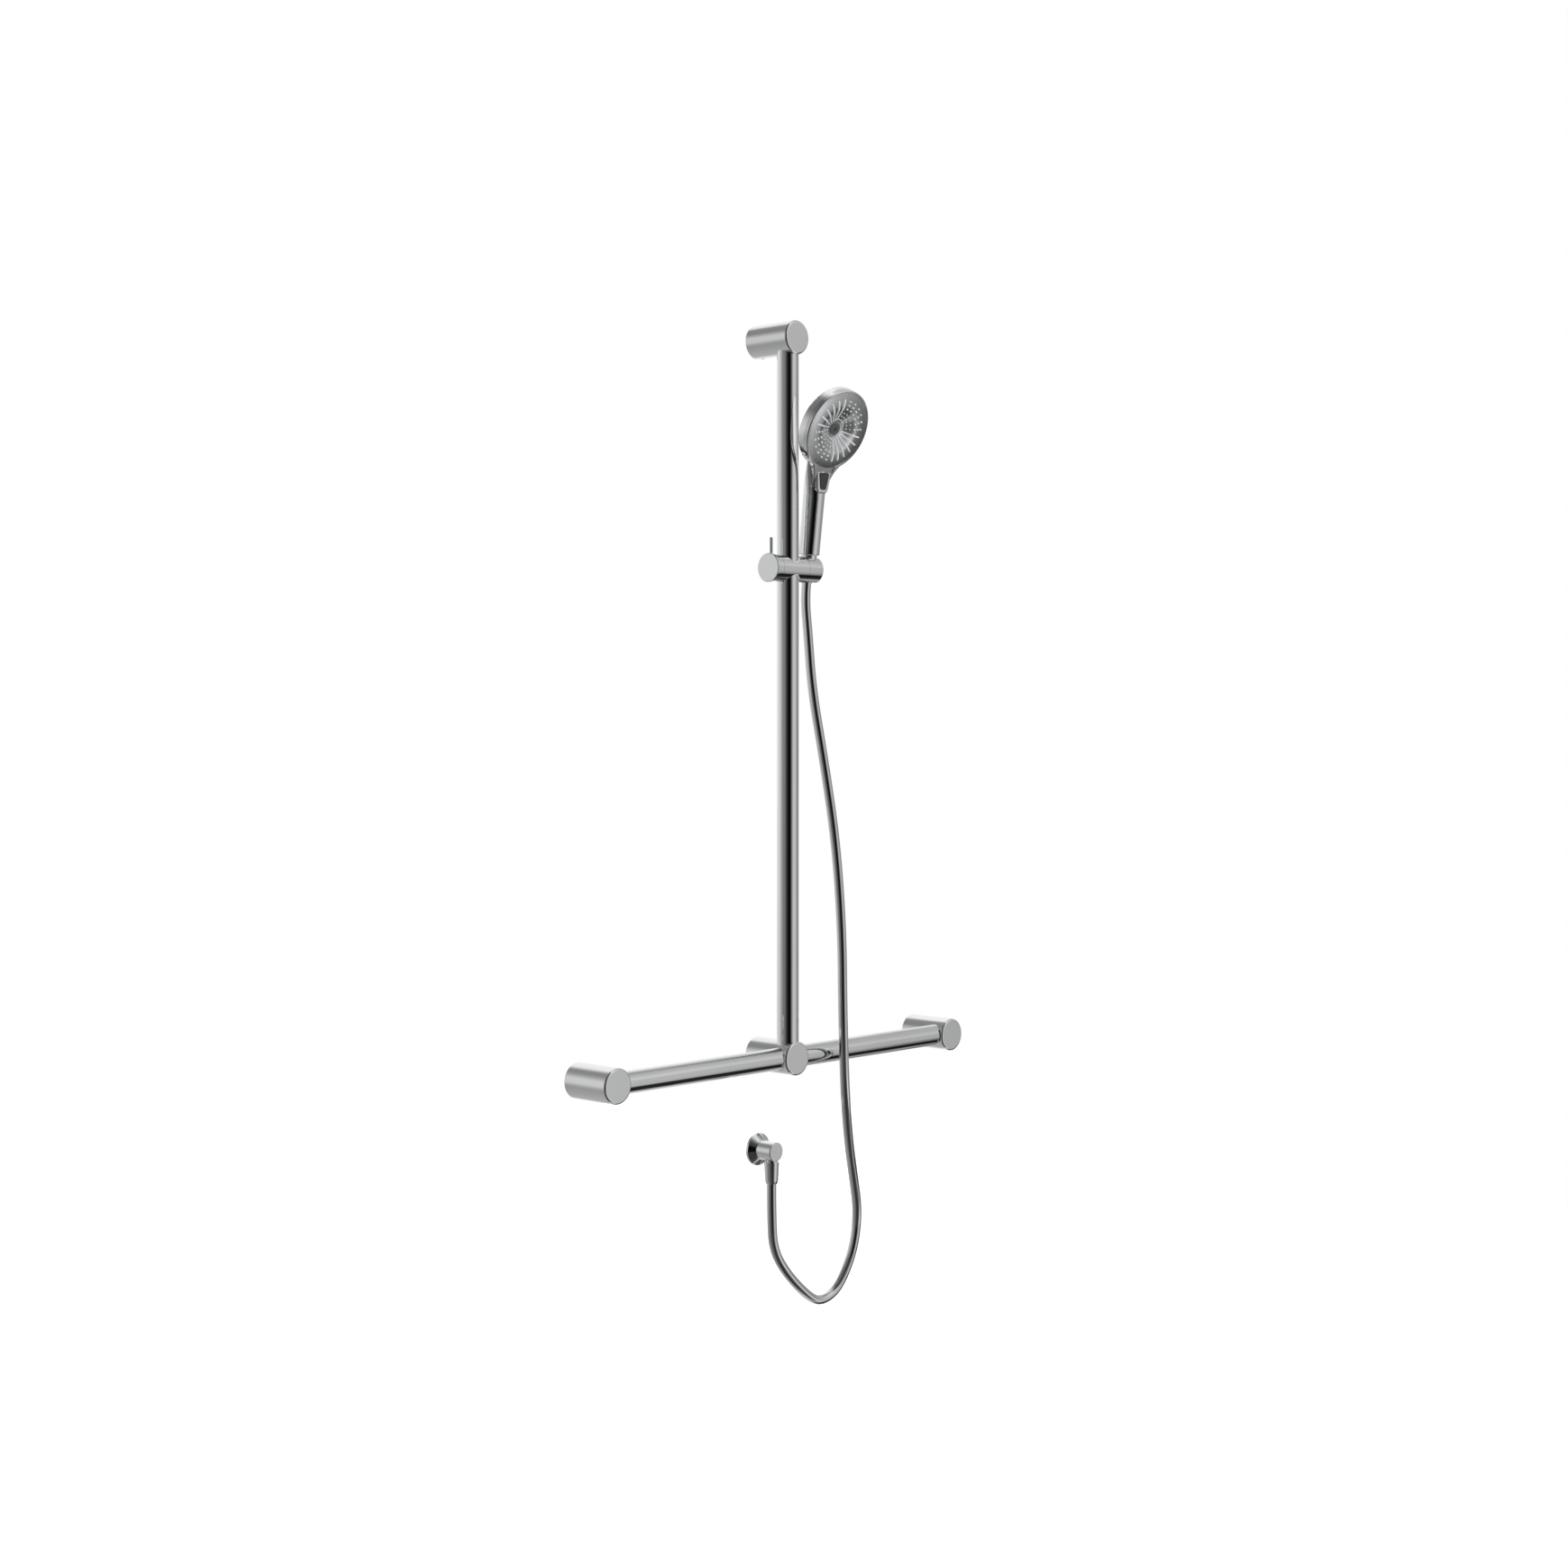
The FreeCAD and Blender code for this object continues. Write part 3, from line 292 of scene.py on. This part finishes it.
def satin_plate():
    """The spray plate: satin silver with a fine grain that softens what it mirrors."""
    material, nodes, links, shader, place = finish_of("satin_plate", metallic=0.9)
    grain = noise(nodes, links, place, scale=700.0, detail=2.0)
    tone = drift(nodes, links, grain, (0.65, 0.655, 0.665), (0.68, 0.685, 0.695))
    links.new(tone, shader.inputs["Base Color"])
    links.new(drift(nodes, links, grain, 0.17, 0.21), shader.inputs["Roughness"])
    links.new(bumped(nodes, links, grain, strength=0.02, distance=0.00002), shader.inputs["Normal"])
    return material


def spray_disc():
    """The grey disc in the middle of the spray plate: satin plastic, a little darker towards its axis and
    dark in a small spot on it.
    """
    material, nodes, links, shader, place = finish_of("spray_disc", specular=0.4)
    low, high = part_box("centre_disc")
    offset = nodes.new("ShaderNodeVectorMath")
    offset.operation = "DISTANCE"
    links.new(place, offset.inputs[0])
    offset.inputs[1].default_value = tuple((a + b) / 2 for a, b in zip(low, high))
    shades = [(0.20, (0.028, 0.028, 0.029)), (0.36, (0.080, 0.081, 0.083)), (1.0, (0.100, 0.101, 0.104))]
    radius = calc(nodes, links, "DIVIDE", offset.outputs["Value"], DISC_RADIUS)
    links.new(ramp(nodes, links, radius, shades), shader.inputs["Base Color"])
    pores = noise(nodes, links, place, scale=900.0, detail=2.0)
    links.new(drift(nodes, links, pores, 0.40, 0.50), shader.inputs["Roughness"])
    return material


FINISHES = {
    "chrome": bright_chrome("bright_chrome", smoothest=0.05, dullest=0.09, tint=(0.93, 0.935, 0.945)),
    "plated_plastic": bright_chrome(
        "plated_handset", smoothest=0.05, dullest=0.10, tint=(0.92, 0.925, 0.935)),
    "hose_skin": hose_skin(),
    "steel": brushed_steel(),
    "brass": turned_brass(),
    "bearing_plastic": moulded_plastic(
        "bearing_plastic", (0.74, 0.74, 0.71), (0.82, 0.82, 0.79), rough=0.45, grain=500.0),
    "plate_grey": satin_plate(),
    "dark_plastic": moulded_plastic(
        "dark_plastic", (0.030, 0.030, 0.032), (0.042, 0.042, 0.045), rough=0.42, grain=900.0),
    "nozzle_rubber": moulded_plastic(
        "nozzle_rubber", (0.70, 0.71, 0.72), (0.78, 0.79, 0.80), rough=0.5, grain=800.0, specular=0.4),
    "seal_rubber": moulded_plastic(
        "seal_rubber", (0.02, 0.02, 0.02), (0.035, 0.035, 0.035), rough=0.7, grain=600.0, specular=0.3),
}


def dress(node, finish):
    """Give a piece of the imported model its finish, on every slot that it has."""
    mesh = frame["nodes"][node].data
    if not mesh.materials:
        mesh.materials.append(finish)
    for index in range(len(mesh.materials)):
        mesh.materials[index] = finish


for entry in frame["record"]["subparts"]:
    dress(entry["node"], FINISHES[entry["material_slot"]])
dress("centre_disc", spray_disc())


# Hose

def hose_line():
    """Points along the hose's smooth line: a spline that has the route's points as its control points."""
    curve = bpy.data.curves.new("hose_line", "CURVE")
    curve.dimensions = "3D"
    curve.resolution_u = HOSE_STEPS
    spline = curve.splines.new("NURBS")
    spline.points.add(len(HOSE_ROUTE) - 1)
    for point, place in zip(spline.points, HOSE_ROUTE):
        point.co = (*place, 1.0)
    spline.order_u = 3
    spline.use_endpoint_u = True
    carrier = bpy.data.objects.new("hose_line", curve)
    scene.collection.objects.link(carrier)
    bpy.context.view_layer.update()
    mesh = bpy.data.meshes.new_from_object(carrier.evaluated_get(bpy.context.evaluated_depsgraph_get()))
    points = np.empty(3 * len(mesh.vertices))
    mesh.vertices.foreach_get("co", points)
    bpy.data.objects.remove(carrier)
    bpy.data.meshes.remove(mesh)
    return points.reshape(-1, 3)


def new_piece(name, vertices, quads, caps, texture, material):
    """A smooth mesh object at the origin, with a UV place for each vertex and flat caps with sharp rims."""
    mesh = bpy.data.meshes.new(name)
    mesh.from_pydata(vertices.tolist(), [], quads.tolist() + caps)
    layer = mesh.uv_layers.new(name="wound")
    corners = np.empty(len(mesh.loops), dtype=np.int32)
    mesh.loops.foreach_get("vertex_index", corners)
    layer.data.foreach_set("uv", texture[corners].astype(np.float32).ravel())
    mesh.polygons.foreach_set("use_smooth", np.arange(len(mesh.polygons)) < len(quads))
    ends = np.empty(2 * len(mesh.edges), dtype=np.int32)
    mesh.edges.foreach_get("vertices", ends)
    rims = [np.isin(ends.reshape(-1, 2), cap).all(axis=1) for cap in caps]
    mesh.edges.foreach_set("use_edge_sharp", np.any(rims, axis=0))
    mesh.materials.append(material)
    mesh.update()
    piece = bpy.data.objects.new(name, mesh)
    scene.collection.objects.link(piece)
    return piece


def lengths_along(line):
    """The distance run at each point of a line."""
    steps = np.linalg.norm(np.diff(line, axis=0), axis=1)
    return np.concatenate([[0.0], np.cumsum(steps)])


def hose_frames(line):
    """Two directions square to the line at each point: one square to the wall's depth, the other to both."""
    heading = np.gradient(line, axis=0)
    heading /= np.linalg.norm(heading, axis=1, keepdims=True)
    across = np.cross(heading, (0.0, 1.0, 0.0))
    across /= np.linalg.norm(across, axis=1, keepdims=True)
    return across, np.cross(heading, across)


def hose_stretch(name, first, last):
    """A closed tube along the line from point first to point last: radius times (cos a, sin a) on the two
    directions. It is built on the bare line, where a ring is one point, and each ring is then set round
    its point."""
    line = HOSE_LINE[first:last + 1]
    turn = 2 * np.pi * np.arange(HOSE_SIDES) / HOSE_SIDES
    across, inward = (side[first:last + 1] for side in HOSE_SQUARE)
    rings = line[:, None] + HOSE_DIAMETER / 2 * (
        np.cos(turn)[None, :, None] * across[:, None] + np.sin(turn)[None, :, None] * inward[:, None])
    rows, sides = np.meshgrid(np.arange(len(line) - 1), np.arange(HOSE_SIDES), indexing="ij")
    beside = (sides + 1) % HOSE_SIDES
    near = rows * HOSE_SIDES
    far = near + HOSE_SIDES
    quads = np.stack([near + sides, near + beside, far + beside, far + sides], axis=-1).reshape(-1, 4)
    end_ring = (len(line) - 1) * HOSE_SIDES
    caps = [list(range(HOSE_SIDES))[::-1], list(range(end_ring, end_ring + HOSE_SIDES))]
    run = HOSE_RUN[first:last + 1] / (np.pi * HOSE_DIAMETER)
    texture = np.stack([np.repeat(run, HOSE_SIDES), np.tile(turn / (2 * np.pi), len(line))], axis=-1)
    bare = np.repeat(line, HOSE_SIDES, axis=0)
    piece = new_piece(name, bare, quads, caps, texture, FINISHES["hose_skin"])
    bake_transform(piece)
    piece.data.vertices.foreach_set("co", rings.astype(np.float32).ravel())
    piece.data.update()
    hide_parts("shower_hose")
    return piece, line


HOSE_LINE = hose_line()
HOSE_RUN = lengths_along(HOSE_LINE)
HOSE_SQUARE = hose_frames(HOSE_LINE)
loop_axis = np.array([math.cos(LOOP_LEAN), 0.0, -math.sin(LOOP_LEAN)])
top_cut = int(np.searchsorted(HOSE_RUN, HOSE_TOP_LENGTH))
low_cut = int(np.argmax(HOSE_LINE @ loop_axis))
last_point = len(HOSE_LINE) - 1

# The hose is cut into three stretches: the one under the nut, the long leg down to the loop's furthest
# point along loop_axis, and the short leg from there up to the wall outlet's nut.
hose_top, top_line = hose_stretch("hose_top", 0, top_cut)
hose_long, long_line = hose_stretch(
    "hose_long", top_cut, low_cut)
hose_short, short_line = hose_stretch(
    "hose_short", low_cut, last_point)


# Studio

def studio_world():
    """White behind the object, light at the sides and dark behind the camera, graded by the soft patches."""
    world = bpy.data.worlds.new("studio")
    scene.world = world
    nodes, links = tree_of(world)
    direction = nodes.new("ShaderNodeTexCoord").outputs["Generated"]
    ahead = along(nodes, links, direction, VIEW_FORWARD)
    right = along(nodes, links, direction, VIEW_RIGHT)
    height = along(nodes, links, direction, (0.0, 0.0, 1.0))
    steepness = calc(nodes, links, "ABSOLUTE", height)
    bearing = calc(nodes, links, "ARCTAN2", right, calc(nodes, links, "MULTIPLY", ahead, -1.0))
    turn = calc(nodes, links, "ADD", calc(nodes, links, "DIVIDE", bearing, 2 * math.pi), 0.5)
    walls = [(0.5 + degrees / 360, shade) for degrees, shade in STUDIO_WALLS]
    studio = ramp(nodes, links, turn, walls, "LINEAR")

    measures = {"ahead": ahead, "right": right, "height": height, "steepness": steepness}
    for kind, amount, edges in STUDIO_PATCHES:
        inside = 1.0
        for measure, outer, inner in edges:
            edge = eased(nodes, links, measures[measure], outer, inner)
            inside = calc(nodes, links, "MULTIPLY", edge, inside)
        change = calc(nodes, links, "MULTIPLY", inside, amount)
        if kind == "dimmed":
            studio = calc(nodes, links, "MULTIPLY", studio, calc(nodes, links, "SUBTRACT", 1.0, change))
        else:
            studio = calc(nodes, links, "ADD", studio, change)

    # Matt surfaces get the even light with the key, and the camera sees plain white.
    path = nodes.new("ShaderNodeLightPath").outputs
    towards_key = along(nodes, links, direction, KEY_DIRECTION)
    key = calc(nodes, links, "MULTIPLY", eased(nodes, links, towards_key, KEY_EDGE, KEY_FULL), KEY_LIGHT)
    matt = calc(nodes, links, "ADD", key, EVEN_LIGHT)
    lit = chosen(nodes, links, path["Is Diffuse Ray"], studio, matt)
    seen = chosen(nodes, links, path["Is Camera Ray"], lit, 1.0)
    background = nodes.new("ShaderNodeBackground")
    background.inputs["Color"].default_value = (1.0, 1.0, 1.0, 1.0)
    links.new(seen, background.inputs["Strength"])
    output = nodes.new("ShaderNodeOutputWorld")
    links.new(background.outputs["Background"], output.inputs["Surface"])


def floor_white():
    """Matt white that takes the object's soft shadow. The camera sees it lifted to the background's white."""
    material, nodes, links, shader, place = finish_of("floor_white", specular=0.2)
    cloud = noise(nodes, links, place, scale=3.0)
    tone = drift(nodes, links, cloud, (0.85, 0.85, 0.85), (0.87, 0.87, 0.87))
    links.new(tone, shader.inputs["Base Color"])
    links.new(drift(nodes, links, cloud, 0.80, 0.86), shader.inputs["Roughness"])
    shader.inputs["Emission Color"].default_value = (1.0, 1.0, 1.0, 1.0)
    seen = nodes.new("ShaderNodeLightPath").outputs["Is Camera Ray"]
    links.new(calc(nodes, links, "MULTIPLY", seen, FLOOR_LIFT), shader.inputs["Emission Strength"])
    return material


def pale_floor():
    """A wide plain floor well below the hose, left out of what the chrome mirrors."""
    half = FLOOR_HALF
    mesh = bpy.data.meshes.new("floor")
    mesh.from_pydata([(-half, -half, FLOOR_HEIGHT), (half, -half, FLOOR_HEIGHT), (half, half, FLOOR_HEIGHT),
                      (-half, half, FLOOR_HEIGHT)], [], [(0, 1, 2, 3)])
    floor = bpy.data.objects.new("floor", mesh)
    scene.collection.objects.link(floor)
    mesh.materials.append(floor_white())
    floor.visible_glossy = False


def camera():
    """The camera of the picture: level, with the frame hanging a little below the line of sight."""
    data = bpy.data.cameras.new("camera")
    data.lens = LENS_MM
    data.sensor_width = SENSOR_MM
    data.shift_y = FRAME_DROP
    holder = bpy.data.objects.new("camera", data)
    holder.location = CAMERA_PLACE
    holder.rotation_euler = (math.pi / 2, 0.0, -VIEW_TURN)
    scene.collection.objects.link(holder)
    scene.camera = holder


studio_world()
pale_floor()
camera()
scene.view_settings.view_transform = "Standard"
